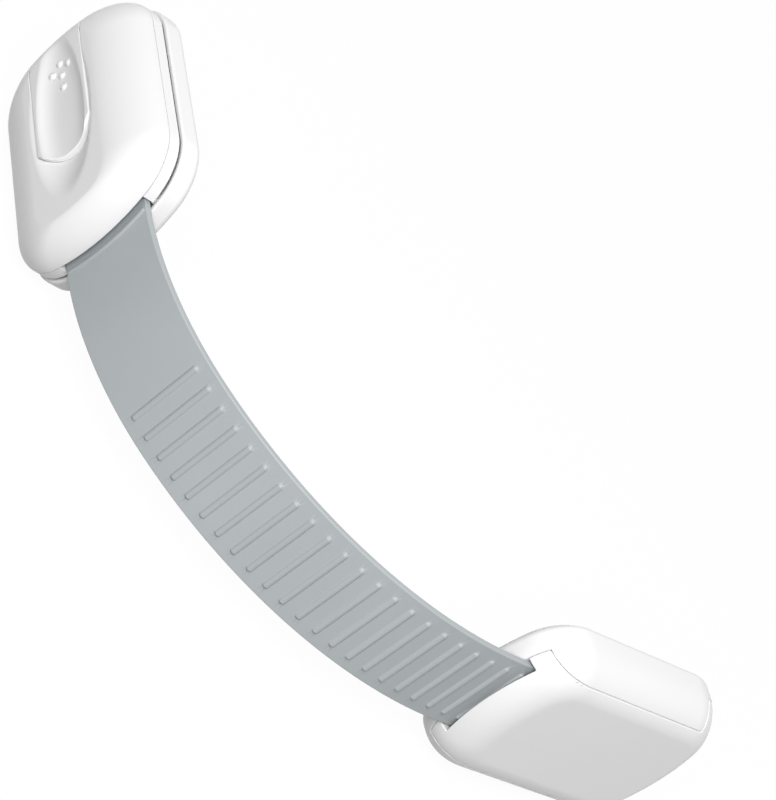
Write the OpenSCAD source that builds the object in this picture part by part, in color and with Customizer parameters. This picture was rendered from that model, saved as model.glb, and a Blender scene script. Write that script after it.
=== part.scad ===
// Cabinet safety lock: a release head and a strap adjuster, each with an
// adhesive face, joined by a flexible ribbed strap that bends round a corner.
// Origin: centre of the adjuster's adhesive face. Its front looks along -Y,
// +X runs from its strap slot to its far end and +Z lies across the strap.
// Each pad is drawn flat in its own frame: x from the strap end to the far
// end, y across the pad, z the height above the surface it sticks to.

/* [Pads] */
// Length of the release head, strap end to far end
head_l = 55.5; // [55:0.5:62]
// Length of the adjuster, strap end to far end
adj_l = 58.5; // [58:0.5:64]
// Width of each pad
pad_w = 40.5; // [39.5:0.5:46]
// Plan radius of the pad corners
corner_r = 11; // [10:0.25:12]
// Bow radius of the short ends
end_bow_r = 42; // [38:1:80]
// Height of the pad bodies up to the level of the strap
base_h = 5.9; // [5.6:0.1:7]
// Round-over of the edge beside the door
back_edge_r = 1.8; // [0.6:0.1:2.2]
// Floor thickness of both bases
base_floor = 2.2; // [1.6:0.1:2.6]
// How far the release base stands out beyond the head
base_out = 0.6; // [0:0.1:1.2]
// Wall of the release base around its tray
base_wall = 3; // [2:0.1:4]
// Thickness of the adhesive foam
tape_t = 0.8; // [0.5:0.1:1.2]
// Margin of the foam inside the pad outline
tape_margin = 2.2; // [1.9:0.1:4]

/* [Strap] */
// Width of the strap
strap_w = 22; // [20:0.5:24]
// Thickness of the strap
strap_t = 1.4; // [1.2:0.05:1.6]
// Clearance under the strap
strap_gap = 0.1; // [0.05:0.05:0.2]
// Radius of the bend beside the head
bend_head_r = 60; // [50:1:90]
// Angle of the bend beside the head
bend_head_a = 39; // [20:1:60]
// Radius of the bend beside the adjuster
bend_tail_r = 83; // [60:1:110]
// Angle of the bend beside the adjuster
bend_tail_a = 57; // [30:1:70]
// Free room behind the strap's tail inside the adjuster
tail_clear = 3.7; // [1:0.1:8]
// Plain stretch from the head to the first rib
plain_l = 35.6; // [20:0.2:50]
// Spacing of the ribs
rib_pitch = 4.26; // [3.8:0.02:5]
// Length of a rib across the strap
rib_l = 17.3; // [14:0.1:18.5]
// Radius of the half-round rib
rib_r = 0.75; // [0.6:0.05:0.9]
// Height of a rib above the strap
rib_h = 0.5; // [0.3:0.05:0.6]
// Distance of the strap's bowed collar from the head
collar_at = 0.7; // [0.3:0.1:3]
// Width of the collar
collar_w = 1; // [0.6:0.1:1.6]
// Height of the collar above the strap
collar_h = 0.3; // [0.2:0.05:0.6]
// Length of the anchor block inside the head
anchor_l = 4.6; // [3.5:0.1:5.5]
// Height of the anchor block above the strap's front
anchor_h = 2.8; // [2:0.1:3]

/* [Head] */
// Gap between the head and its base
head_gap = 0.3; // [0.2:0.05:0.5]
// Height of the head floor's rim
rim_t = 2.4; // [2.2:0.1:2.8]
// Width of the head floor's rim
rim_w = 3.2; // [2.8:0.1:3.6]
// Thickness of the head floor
floor_t = 1.2; // [1:0.1:1.4]
// Height of the cover above the rim
cover_h = 7.2; // [7:0.1:8.5]
// Upright edge of the cover below its crown
cover_edge = 0.2; // [0.1:0.1:1]
// Width of the crown along the cover's long sides
crown_side = 11; // [9:0.25:11.5]
// Width of the crown at the cover's strap end
crown_near = 4; // [3:0.25:6]
// Width of the crown at the cover's far end
crown_far = 7; // [5:0.25:8]
// Corner radius of the cover's flat front
crown_corner = 6; // [4:0.25:7]
// Side wall of the cover
cover_wall = 2.6; // [2.2:0.1:3]
// Front wall of the cover
cover_roof = 4; // [3.8:0.1:4.2]
// Wall behind which the strap anchor sits
anchor_wall = 4.2; // [4:0.1:5]
// Radius of the pegs that join floor and cover
peg_r = 1.2; // [1:0.1:1.6]
// Radius of the cover's bosses round the pegs
boss_r = 2.6; // [2.4:0.1:3]
// Distance of the pegs from the short ends
peg_end = 14; // [13:0.5:16]
// Distance of the pegs from the long sides
peg_side = 6.5; // [6:0.25:7]

/* [Thumb dish and button] */
// Length of the thumb dish
dish_l = 41; // [34:0.5:44]
// Width of the thumb dish
dish_w = 14; // [11:0.25:14.5]
// Depth of the thumb dish in the button
dish_d = 2; // [1:0.1:2.1]
// Extra depth of the dish in the cover, which leaves the button's edge proud
dish_step = 1.2; // [0.3:0.05:1.4]
// Extra half width and half length of the dish in the cover
dish_rim = 1; // [0:0.1:1.2]
// Centre of the dish from the strap end
dish_u = 30.5; // [29:0.25:32]
// Width of the button
btn_w = 14.7; // [14.6:0.1:16]
// Slit between button and cover
btn_gap = 0.2; // [0.15:0.05:0.4]
// Tip of the button's round edge, from the strap end
btn_tip = 20; // [18:0.25:22]
// Radius of the button's round edge
btn_nose_r = 9.3; // [8.4:0.1:10]
// Front wall of the button above its rails
btn_t = 3.7; // [3.4:0.1:3.8]
// End wall of the button
btn_end_t = 2.6; // [2:0.1:3]
// Thickness of a rail under the button
rail_t = 1.4; // [1.2:0.05:1.5]
// How far a rail reaches under the cover
rail_lip = 1.4; // [1:0.1:1.6]
// Length of the rails
rail_l = 16; // [13:0.5:16.5]
// Diameter of the raised dots
dot_d = 1.4; // [1:0.1:1.6]
// Height of the raised dots
dot_h = 0.45; // [0.2:0.05:0.5]
// Spacing of the dots across the button
dot_dw = 2.35; // [2:0.05:2.8]
// Spacing of the dots along the button
dot_du = 3.2; // [2.8:0.1:3.6]
// Foremost dot from the far end of the dish
dot_end = 6.3; // [5:0.1:8]

/* [Latch] */
// Far face of the catch post's stem, from the strap end
post_u = 33; // [32:0.25:34]
// Length of the catch post's stem
post_l = 6; // [5:0.25:7]
// Width of the catch post
post_w = 10; // [8:0.25:10.2]
// Height of the catch post above the base
post_h = 5.1; // [4.8:0.1:5.3]
// Overhang of the catch lip
lip_l = 2; // [1.6:0.1:2.2]
// Thickness of the catch lip
lip_t = 1.4; // [1.2:0.1:1.6]
// Clearance of the latch around the catch
latch_gap = 0.3; // [0.2:0.05:0.4]
// Thickness of the spring strip
leaf_t = 0.4; // [0.3:0.05:0.5]
// Width of the spring strip
leaf_w = 7; // [5:0.25:8]
// Inner bend radius of the spring strip
leaf_r = 0.6; // [0.5:0.05:0.7]
// Hook length under the catch lip
hook_l = 1.4; // [1.1:0.1:1.5]
// Span of the spring between its hook and its foot
leaf_span = 8.8; // [8:0.2:9.4]
// Wall of the clamp that holds the spring's foot
clamp_t = 1.6; // [1.2:0.1:2]
// Height of the clamp above the head floor
clamp_h = 2.2; // [1.6:0.1:2.4]
// Thickness of the button's drive fin
fin_t = 1; // [0.8:0.05:1.1]

/* [Adjuster] */
// Height of the adjuster
adj_h = 12.8; // [12.4:0.1:14]
// Height of the adjuster's shoulder rounding
shoulder_h = 9; // [7:0.25:9.25]
// Width of the shoulder along the adjuster's long sides
shoulder_side = 8.5; // [7:0.25:9.5]
// Width of the shoulder at the adjuster's strap end
shoulder_near = 9; // [7:0.25:9.5]
// Width of the shoulder at the adjuster's far end
shoulder_far = 5; // [4:0.25:7]
// Corner radius of the adjuster's flat front
shoulder_corner = 5; // [3:0.25:7]
// Width of the lid between the cheeks
lid_w = 31; // [29:0.25:32]
// Seam between lid and base
lid_gap = 0.2; // [0.15:0.05:0.3]
// Round front of the cheeks
nose_r = 6.1; // [5:0.1:6.6]
// Where the cheeks reach their full height, from the strap end
nose_u = 9.9; // [9:0.1:11]
// Plain length of the lid's far end beyond the cheeks
lid_end_l = 9.2; // [8.6:0.1:10]
// Front wall of the lid
lid_roof = 1.8; // [1.5:0.1:2.2]
// Side wall of the lid
lid_wall = 1.7; // [1.4:0.1:1.9]
// Solid length of the lid's nose
lid_nose_l = 7.5; // [7:0.1:9]
// Height of the strap slot
slot_h = 2.4; // [2.2:0.1:2.8]
// Side clearance of the strap in its slots
slot_side = 0.5; // [0.3:0.05:0.8]
// Number of clamp bars under the lid
bar_n = 4; // [2:1:5]
// Thickness of a clamp bar
bar_t = 1.5; // [1.2:0.05:1.7]
// Gap between a clamp bar and the strap
bar_gap = 0.2; // [0.1:0.05:0.3]
// Thickness of the strap rails and guides in the base
guide_t = 1.2; // [1:0.1:1.4]

/* [Hinge] */
// Hinge axis from the far end
hinge_end = 3.6; // [3.4:0.1:4]
// Hinge axis above the strap level
hinge_rise = 0.7; // [0.5:0.05:0.9]
// Radius of the lid's hinge barrel
barrel_r = 3.15; // [3:0.05:3.3]
// Gap between the barrel and its trough
barrel_gap = 0.25; // [0.2:0.05:0.35]
// Radius of a base knuckle
knuckle_r = 1.9; // [1.7:0.05:2]
// Width of a base knuckle
knuckle_w = 4; // [3:0.25:4.5]
// Distance of a knuckle's middle from the pad's centre line
knuckle_at = 6.2; // [5.5:0.1:6.6]
// Neck thickness of a knuckle
neck_t = 2.4; // [2:0.1:2.6]
// Side clearance of the knuckles
knuckle_gap = 0.25; // [0.2:0.05:0.4]
// Radius of the hinge pin
pin_r = 0.8; // [0.7:0.05:0.9]
// Running clearance of the pin in the lid
pin_run = 0.06; // [0.04:0.01:0.09]
// Length of the hinge pin
pin_l = 24; // [22:0.5:26]

/* [Hidden] */
$fn = 64;
over = 1;
corner_n = 9;
bow_n = 10;
edge_n = 5;
round_n = 10;
leaf_n = 6;
bend_n = 80;
white = "#f4f4f2";
grey = "#b3babb";
foam = "#d9d9d4";
steel = "#c4c7ca";

// Plan of the bowed ends and of the strap slots
function bow_at(v) = end_bow_r - sqrt(pow(end_bow_r, 2) - pow(v, 2));
slot_w = strap_w + 2 * slot_side;
slot_u = bow_at(slot_w / 2);

// Heights in the pads
strap_z = base_h + head_gap;
strap_top = strap_z + strap_t;
strap_mid = strap_z + strap_t / 2;
rim_z = strap_z + rim_t;
head_top = rim_z + cover_h;
cover_crown = [crown_side, crown_near, crown_far, cover_h - cover_edge, crown_corner];
cavity_z = head_top - cover_roof;
floor_top = strap_z + floor_t;
tray_z = tape_t + base_floor;

// Head interior
anchor_u = anchor_wall + 0.2;
anchor_z = strap_z + floor_t * 0.75;
pegs = [for (u = [peg_end, head_l - peg_end], v = [-1, 1]) [u, v * (pad_w / 2 - peg_side)]];
btn_in = head_top - btn_t;
btn_mid_u = btn_tip + btn_nose_r;
dot_tip = dish_u + dish_l / 2 - dot_end;
rail_u = btn_mid_u + 1.5;
rail_top = cavity_z - latch_gap;
rail_z = rail_top - rail_t + 0.2;

// Latch, measured from the catch post
post_z = base_h + post_h;
lip_z = post_z - lip_t;
lip_u = post_u + lip_l;
hook_z = lip_z - latch_gap - leaf_t;
fin_u = lip_u + latch_gap + 0.5;
leg_u = fin_u + fin_t + 0.2;
leaf_top = rail_top - 0.6;
foot_u = leg_u + leaf_span;
foot_z = floor_top + 0.1;

// Adjuster seams and hinge
seam_z = strap_z - lid_gap / 2;
adj_crown = [shoulder_side, shoulder_near, shoulder_far, shoulder_h, shoulder_corner];
cheek_u = adj_l - lid_end_l;
tray_end = cheek_u - 2;
hinge_u = adj_l - hinge_end;
hinge_z = base_h + hinge_rise;
lid_in = adj_h - lid_roof;
rib_top = strap_top + rib_h;

// Strap stations are measured back from the adjuster's slot
tail_l = tray_end - slot_u - tail_clear;
bend_tail_l = bend_tail_r * bend_tail_a * PI / 180;
bend_head_l = bend_head_r * bend_head_a * PI / 180;
free_l = bend_tail_l + bend_head_l;
rib_n = floor((free_l + tail_l - plain_l - 2) / rib_pitch) + 1;
function rib_at(k) = free_l - plain_l - k * rib_pitch;
bar_first = ceil((free_l - plain_l + lid_nose_l) / rib_pitch) + 0.5;

// Frames
module adjuster_frame() {
    translate([-adj_l / 2, 0, 0])
        rotate([90, 0, 0])
            children();
}

module bend_frame(r, a) {
    translate([0, r, 0])
        rotate([0, 0, -a])
            translate([0, -r, 0])
                children();
}

module strap_frame() {
    translate([slot_u - adj_l / 2, -strap_mid, 0])
        children();
}

module head_frame() {
    strap_frame()
        bend_frame(bend_tail_r, bend_tail_a)
            bend_frame(bend_head_r, bend_head_a)
                translate([slot_u, strap_mid, 0])
                    rotate([0, 180, 0])
                        rotate([90, 0, 0])
                            children();
}

// Carries its children to a station along the strap
module at_station(d) {
    if (d <= 0)
        translate([-d, 0, 0]) children();
    else if (d <= bend_tail_l)
        bend_frame(bend_tail_r, d / bend_tail_r * 180 / PI) children();
    else
        bend_frame(bend_tail_r, bend_tail_a)
            bend_frame(bend_head_r, (d - bend_tail_l) / bend_head_r * 180 / PI) children();
}

// Side points of the strap: at a station, off from its middle, or given in the head's frame
function bent(p, r, a) = [p[0] * cos(a) + (p[1] - r) * sin(a), r - p[0] * sin(a) + (p[1] - r) * cos(a)];
function side_at(d, off) = d <= bend_tail_l
    ? bent([0, off], bend_tail_r, d / bend_tail_r * 180 / PI)
    : bent(bent([0, off], bend_head_r, (d - bend_tail_l) / bend_head_r * 180 / PI), bend_tail_r, bend_tail_a);
function head_side(u, z) =
    bent(bent([slot_u - u, strap_mid - z], bend_head_r, bend_head_a), bend_tail_r, bend_tail_a);

// Points round a pad of length l, drawn in at its long sides, its strap end and its far end:
// corner arcs of radius r tangent to straight sides and bowed ends
function arc(c, r, a0, a1, n) =
    [for (i = [0 : n]) c + r * [cos(a0 + (a1 - a0) * i / n), sin(a0 + (a1 - a0) * i / n)]];
function inner(points) = [for (i = [1 : len(points) - 2]) points[i]];
function pad_ring(l, side, near, far, r) = let (
    v = pad_w / 2 - side - r,
    near_b = end_bow_r - near,
    far_b = end_bow_r - far,
    near_a = asin(v / (near_b - r)),
    far_a = asin(v / (far_b - r)),
    near_u = end_bow_r - (near_b - r) * cos(near_a),
    far_u = l - end_bow_r + (far_b - r) * cos(far_a)
) concat(
    arc([far_u, -v], r, -90, -far_a, corner_n),
    inner(arc([l - end_bow_r, 0], far_b, -far_a, far_a, bow_n)),
    arc([far_u, v], r, far_a, 90, corner_n),
    arc([near_u, v], r, 90, 180 - near_a, corner_n),
    inner(arc([end_bow_r, 0], near_b, 180 - near_a, 180 + near_a, bow_n)),
    arc([near_u, -v], r, 180 + near_a, 270, corner_n)
);
function pad_outline(l, inset) = pad_ring(l, inset, inset, inset, corner_r - inset);

// Ring of a crown, t from its foot at 0 to the flat front at 90 degrees
function crown_ring(l, crown, t) = let (k = 1 - cos(t))
    pad_ring(l, crown[0] * k, crown[1] * k, crown[2] * k, corner_r + (crown[4] - corner_r) * k);

// Upright prism with the pad's outline
module pad_prism(l, z0, z1, inset = 0) {
    translate([0, 0, z0])
        linear_extrude(z1 - z0)
            polygon(pad_outline(l, inset));
}

// Pad lofted through rings: edge radius lo beside the door, and in front a crown given by
// its widths at the long sides, strap end and far end, its height and its corner radius
module pad_loft(l, z0, z1, lo, crown = [], grow = 0) {
    low = lo > 0 ? arc([lo, z0 + lo], lo, 270, 180, edge_n) : [[0, z0]];
    high = len(crown) > 0 ? [for (i = [0 : round_n]) 90 * i / round_n] : [0];
    level = len(crown) > 0 ? crown[3] : 0;
    rings = concat(
        [for (p = low) pad_outline(l, p[0] - grow)],
        [for (t = high) len(crown) > 0 ? crown_ring(l, crown, t) : pad_outline(l, -grow)]
    );
    heights = concat([for (p = low) p[1]], [for (t = high) z1 - level * (1 - sin(t))]);
    n = len(rings[0]);
    top = (len(rings) - 1) * n;
    polyhedron(
        [for (k = [0 : len(rings) - 1], p = rings[k]) [p[0], p[1], heights[k]]],
        concat(
            [[for (i = [0 : n - 1]) i], [for (i = [n - 1 : -1 : 0]) top + i]],
            [for (k = [0 : n : top - n], i = [0 : n - 1]) [k + i, k + n + i, k + (i + 1) % n]],
            [for (k = [0 : n : top - n], i = [0 : n - 1]) [k + (i + 1) % n, k + n + i, k + n + (i + 1) % n]]
        )
    );
}

// Box centred across the pad
module mid_box(u0, u1, w, z0, z1) {
    translate([u0, -w / 2, z0])
        cube([u1 - u0, w, z1 - z0]);
}

// Cylinder along the pad's width
module cross_rod(u, z, r, l) {
    translate([u, l / 2, z])
        rotate([90, 0, 0])
            cylinder(r = r, h = l);
}

module tape(l) {
    pad_prism(l, 0, tape_t, tape_margin);
}

// Long thumb dish: a torus whose tube gives the width and whose ring the length
module thumb_dish(depth, rim) {
    tube_r = (pow(dish_w / 2 + rim, 2) + pow(depth, 2)) / (2 * depth);
    ring_r = (pow(dish_l / 2 + rim, 2) + pow(depth, 2)) / (2 * depth);
    translate([dish_u, 0, head_top - depth + ring_r])
        rotate([90, 0, 0])
            rotate_extrude($fn = 128)
                translate([ring_r - tube_r, 0])
                    circle(tube_r);
}

// Upright prism of the button's plan, grown by g
module button_plan(g, z0, z1) {
    intersection() {
        union() {
            translate([btn_mid_u, 0, z0]) cylinder(r = btn_nose_r + g, h = z1 - z0);
            mid_box(btn_mid_u, head_l + 2 * over, btn_w + 2 * g, z0, z1);
        }
        mid_box(0, head_l + 3 * over, btn_w + 2 * g, z0, z1);
    }
}

module head_shell() {
    pad_loft(head_l, rim_z, head_top, 0, cover_crown);
}

module release_tape() {
    color(foam) head_frame() tape(head_l);
}

// Tray with the catch post that the latch hooks under
module release_base() {
    color(white) head_frame() {
        difference() {
            pad_loft(head_l, tape_t, base_h, back_edge_r, grow = base_out);
            pad_prism(head_l, tray_z, base_h + over, base_wall);
        }
        for (side = [-1, 1])
            translate([base_wall, side * (pad_w / 4 + guide_t) - guide_t / 2, tray_z])
                cube([head_l - 2 * base_wall, guide_t, base_h - tray_z]);
        mid_box(post_u - post_l, post_u, post_w, tray_z, post_z);
        mid_box(post_u - post_l, lip_u, post_w, lip_z, post_z);
    }
}

// Floor of the head with the strap notch, the catch window and the spring clamp
module head_floor() {
    color(white) head_frame() {
        difference() {
            pad_prism(head_l, strap_z, rim_z);
            pad_prism(head_l, floor_top, rim_z + over, rim_w);
            mid_box(-over, anchor_u, slot_w, strap_z - over, rim_z + over);
            mid_box(anchor_wall, anchor_u + anchor_l + slot_side, slot_w, anchor_z - 0.1, rim_z + over);
            mid_box(post_u - post_l - latch_gap, leg_u + leaf_t + latch_gap, post_w + 2 * latch_gap,
                strap_z - over, rim_z + over);
        }
        difference() {
            mid_box(foot_u - clamp_t, foot_u + leaf_t + clamp_t, leaf_w + 1.5 * clamp_t,
                strap_z + floor_t / 2, floor_top + clamp_h);
            mid_box(foot_u - 0.05, foot_u + leaf_t + 0.05, leaf_w + 0.1,
                foot_z - 0.05, floor_top + clamp_h + over);
        }
        for (p = pegs)
            translate([p[0], p[1], strap_z + floor_t / 2])
                cylinder(r = peg_r, h = cavity_z - 0.6 - strap_z - floor_t / 2);
    }
}

// Domed cover with the thumb dish, the button's opening and bosses for the pegs
module head_cover() {
    color(white) head_frame() {
        difference() {
            head_shell();
            intersection() {
                pad_prism(head_l, rim_z - over, cavity_z, cover_wall);
                mid_box(anchor_wall, head_l, pad_w, rim_z - over, cavity_z);
            }
            button_plan(btn_gap, rim_z - over, head_top + over);
            thumb_dish(dish_d + dish_step, dish_rim);
        }
        for (p = pegs)
            translate([p[0], p[1], rim_z + 0.1])
                difference() {
                    cylinder(r = boss_r, h = cavity_z - rim_z + 0.4);
                    translate([0, 0, -over]) cylinder(r = peg_r + 0.05, h = cavity_z - rim_z + over - 0.4);
                }
    }
}

// Thumb button that slides towards the far end, with rails under the cover
module release_button() {
    color(white) head_frame() {
        difference() {
            intersection() {
                head_shell();
                button_plan(0, rim_z, head_top + over);
                union() {
                    mid_box(0, head_l + over, pad_w, btn_in, head_top + over);
                    mid_box(head_l - btn_end_t, head_l + over, pad_w, rim_z + head_gap, head_top + over);
                }
            }
            thumb_dish(dish_d, 0);
        }
        for (side = [0, 1])
            mirror([0, side, 0]) {
                translate([rail_u, btn_w / 2 - rail_t, rail_z])
                    cube([rail_l, rail_t, btn_in - rail_z + 0.4]);
                translate([rail_u, btn_w / 2 - rail_t, rail_z])
                    cube([rail_l, rail_t + rail_lip, rail_top - rail_z]);
            }
        mid_box(fin_u, fin_u + fin_t, leaf_w - 1, lip_z + 0.2, btn_in + 0.4);
        for (d = [[0, 0], [-0.5, 1], [-0.5, -1], [-1, 0], [-2, 0]])
            raised_dot(dot_tip + d[0] * dot_du, d[1] * dot_dw);
    }
}

// Round-topped dot standing on the dish
module raised_dot(u, v) {
    ring_r = (pow(dish_l / 2, 2) + pow(dish_d, 2)) / (2 * dish_d);
    tube_r = (pow(dish_w / 2, 2) + pow(dish_d, 2)) / (2 * dish_d);
    rise = ring_r - sqrt(pow(ring_r, 2) - pow(u - dish_u, 2)) + tube_r - sqrt(pow(tube_r, 2) - pow(v, 2));
    ball_r = (pow(dot_d / 2, 2) + pow(dot_h, 2)) / (2 * dot_h);
    translate([u, v, head_top - dish_d + rise])
        intersection() {
            translate([0, 0, dot_h - ball_r]) sphere(ball_r);
            translate([0, 0, -0.4]) cylinder(d = dot_d, h = dot_h + 1);
        }
}

// Bent steel strip: foot in the floor, run under the button, leg and hook
module latch_spring() {
    bend = leaf_r + leaf_t;
    foot_c = [foot_u - leaf_r, leaf_top - bend];
    leg_c = [leg_u + bend, leaf_top - bend];
    hook_c = [leg_u - leaf_r, hook_z + bend];
    color(steel) head_frame()
        translate([0, leaf_w / 2, 0])
            rotate([90, 0, 0])
                linear_extrude(leaf_w)
                    polygon(concat(
                        [[foot_u, foot_z], [foot_u + leaf_t, foot_z]],
                        arc(foot_c, bend, 0, 90, leaf_n),
                        arc(leg_c, bend, 90, 180, leaf_n),
                        arc(hook_c, leaf_r, 0, -90, leaf_n),
                        [[lip_u - hook_l, hook_z + leaf_t], [lip_u - hook_l, hook_z]],
                        arc(hook_c, bend, -90, 0, leaf_n),
                        arc(leg_c, leaf_r, 180, 90, leaf_n),
                        arc(foot_c, leaf_r, 90, 0, leaf_n)
                    ));
}

// Half-round bar with ball ends, across the front of the strap
module strap_rib(l) {
    translate([0, rib_r - rib_h - strap_t / 2, 0]) {
        translate([0, 0, rib_r - l / 2]) cylinder(r = rib_r, h = l - 2 * rib_r, $fn = 24);
        for (side = [-1, 1])
            translate([0, 0, side * (l / 2 - rib_r)]) sphere(rib_r, $fn = 24);
    }
}

// Side view of the strap: tail, two bends and the anchor block inside the head
module strap_side() {
    front = -strap_t / 2;
    bends = [for (i = [0 : bend_n]) free_l * i / bend_n];
    polygon(concat(
        [[tail_l, front]],
        [for (d = bends) side_at(d, front)],
        [
            head_side(anchor_wall - 0.4, rim_z - 0.2), head_side(anchor_u, rim_z - 0.2),
            head_side(anchor_u, strap_top + anchor_h), head_side(anchor_u + anchor_l, strap_top + anchor_h),
            head_side(anchor_u + anchor_l, anchor_z), head_side(anchor_wall - 0.2, anchor_z)
        ],
        [for (i = [bend_n : -1 : 0]) side_at(bends[i], -front)],
        [[tail_l, -front]]
    ));
}

// Low collar across the front of the strap that follows the bowed edge of the head
module strap_collar() {
    head_frame()
        intersection() {
            mid_box(-collar_at - 2 * collar_w, slot_u + 2 * over, strap_w - collar_w,
                strap_mid, strap_top + collar_h);
            translate([end_bow_r, 0, 0])
                difference() {
                    cylinder(r = end_bow_r + collar_at + collar_w, h = head_top);
                    cylinder(r = end_bow_r + collar_at, h = head_top);
                }
        }
}

// One flexible moulding with ribs that the adjuster's bars drop between
module strap() {
    color(grey) strap_frame() {
        translate([0, 0, -strap_w / 2])
            linear_extrude(strap_w)
                strap_side();
        for (k = [0 : rib_n - 1])
            at_station(rib_at(k)) strap_rib(rib_l);
    }
    color(grey) strap_collar();
}

module adjuster_tape() {
    color(foam) adjuster_frame() tape(adj_l);
}

module adjuster_shell() {
    pad_loft(adj_l, tape_t, adj_h, back_edge_r, adj_crown);
}

// Space of the lid, grown by g: a band between the cheeks, the nose and the far end
module lid_zone(g) {
    z0 = seam_z - g;
    mid_box(-over, adj_l + over, lid_w + 2 * g, z0, adj_h + over);
    mid_box(cheek_u - g, adj_l + over, pad_w + over, z0, adj_h + over);
    difference() {
        mid_box(-over, nose_u, pad_w + over, z0, adj_h + over);
        cross_rod(nose_u, seam_z, nose_r - g, pad_w + 2 * over);
    }
}

// Tray with cheeks, strap rails and guides, and the hinge knuckles
module adjuster_base() {
    inner_w = lid_w - 2 * lid_wall;
    color(white) adjuster_frame() {
        difference() {
            adjuster_shell();
            lid_zone(lid_gap / 2);
            mid_box(cover_wall, tray_end, inner_w, tray_z, adj_h);
            cross_rod(hinge_u, hinge_z, barrel_r + barrel_gap, pad_w + over);
            mid_box(hinge_u, adj_l + over, pad_w + over, hinge_z - 2, adj_h);
            for (side = [-1, 1])
                translate([nose_u + 4, side * lid_w / 2 - 2, tray_z])
                    cube([cheek_u - nose_u - 7, 4, seam_z + 2 - tray_z]);
        }
        for (v = [-1, 0, 1])
            translate([cover_wall - 0.2, v * strap_w * 0.36 - guide_t / 2, tray_z - 0.2])
                cube([tray_end + 0.2 - cover_wall, guide_t, strap_z - strap_gap - tray_z + 0.2]);
        for (side = [0, 1])
            mirror([0, side, 0])
                translate([lid_nose_l + 1, slot_w / 2, tray_z - 0.2])
                    cube([tail_l - lid_nose_l, guide_t, strap_top - tray_z]);
        for (side = [-1, 1])
            translate([0, side * knuckle_at, 0])
                difference() {
                    union() {
                        cross_rod(hinge_u, hinge_z, knuckle_r, knuckle_w);
                        mid_box(hinge_u - neck_t / 2, hinge_u + neck_t / 2, knuckle_w, tray_z - 0.4, hinge_z);
                    }
                    cross_rod(hinge_u, hinge_z, pin_r + 0.02, knuckle_w + over);
                }
    }
}

// Lid with its nose over the strap slot, clamp bars between the ribs and a hinge barrel
module adjuster_lid() {
    knuckle_room = knuckle_w + 2 * knuckle_gap;
    color(white) adjuster_frame() {
        difference() {
            intersection() {
                adjuster_shell();
                union() {
                    lid_zone(-lid_gap / 2);
                    cross_rod(hinge_u, hinge_z, barrel_r, pad_w);
                }
            }
            mid_box(lid_nose_l, tray_end, lid_w - 2 * lid_wall, 0, lid_in);
            mid_box(-over, lid_nose_l + over, slot_w, 0, strap_z + slot_h);
            cross_rod(hinge_u, hinge_z, pin_r + pin_run, pin_l + 0.4);
            for (side = [-1, 1])
                translate([0, side * knuckle_at, 0]) {
                    cross_rod(hinge_u, hinge_z, knuckle_r + 0.3, knuckle_room);
                    mid_box(cheek_u, adj_l + over, knuckle_room, 0, hinge_z + 0.5);
                }
        }
        for (i = [0 : bar_n - 1])
            translate([slot_u - rib_at(bar_first + i), 0, 0])
                mid_box(-bar_t / 2, bar_t / 2, rib_l + 1, strap_top + bar_gap, lid_in + 0.4);
    }
}

module hinge_pin() {
    color(steel) adjuster_frame() cross_rod(hinge_u, hinge_z, pin_r, pin_l);
}

release_tape();
release_base();
head_floor();
head_cover();
release_button();
latch_spring();
strap();
adjuster_base();
adjuster_tape();
adjuster_lid();
hinge_pin();
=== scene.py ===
import math

import bmesh
import bpy
from mathutils import Matrix, Vector


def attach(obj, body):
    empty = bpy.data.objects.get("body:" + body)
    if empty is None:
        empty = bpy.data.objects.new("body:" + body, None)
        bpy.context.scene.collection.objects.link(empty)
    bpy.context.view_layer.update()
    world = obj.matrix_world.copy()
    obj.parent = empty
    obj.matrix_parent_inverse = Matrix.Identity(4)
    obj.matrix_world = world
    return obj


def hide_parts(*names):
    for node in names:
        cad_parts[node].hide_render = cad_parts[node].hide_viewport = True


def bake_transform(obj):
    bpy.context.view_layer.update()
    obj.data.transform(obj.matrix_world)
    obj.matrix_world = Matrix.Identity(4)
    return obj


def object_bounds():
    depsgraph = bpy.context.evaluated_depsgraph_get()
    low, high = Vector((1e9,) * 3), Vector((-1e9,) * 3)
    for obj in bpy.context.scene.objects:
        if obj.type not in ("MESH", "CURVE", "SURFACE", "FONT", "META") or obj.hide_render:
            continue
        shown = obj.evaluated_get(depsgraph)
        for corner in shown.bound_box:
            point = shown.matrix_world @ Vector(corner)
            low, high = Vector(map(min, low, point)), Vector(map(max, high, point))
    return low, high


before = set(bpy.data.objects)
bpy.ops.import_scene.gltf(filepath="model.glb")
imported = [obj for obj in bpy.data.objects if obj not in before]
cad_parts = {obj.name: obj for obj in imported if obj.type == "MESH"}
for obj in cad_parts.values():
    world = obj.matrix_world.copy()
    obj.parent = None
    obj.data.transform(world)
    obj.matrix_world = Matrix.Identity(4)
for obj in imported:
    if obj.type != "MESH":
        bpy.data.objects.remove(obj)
cadLow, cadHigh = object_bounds()
scene = bpy.context.scene
scene.view_settings.view_transform = "Standard"
mm = Matrix.Scale(0.001, 4)

# Both pads share one plan but for their length. They are modelled flat, in millimetres:
# x from the strap end, y across, z off the door.
pad = {
    "headLong": 55.5, "adjusterLong": 58.5, "width": 40.5, "cornerR": 11.0, "bowR": 42.0,
    "cornerSteps": 20, "bowSteps": 24,
    "tape": 0.8, "tapeInset": 2.2, "backEdge": 1.8, "backSteps": 8, "floorTop": 3.0, "baseTop": 5.9,
}
# The strap leaves both pads at slotU and runs through two bends.
route = {
    "slotU": 1.6054, "mid": 6.9, "tail": 41.995,
    "tailR": 83.0, "tailA": 57.0, "tailSteps": 71, "headR": 60.0, "headA": 39.0, "headSteps": 47,
}
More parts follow.
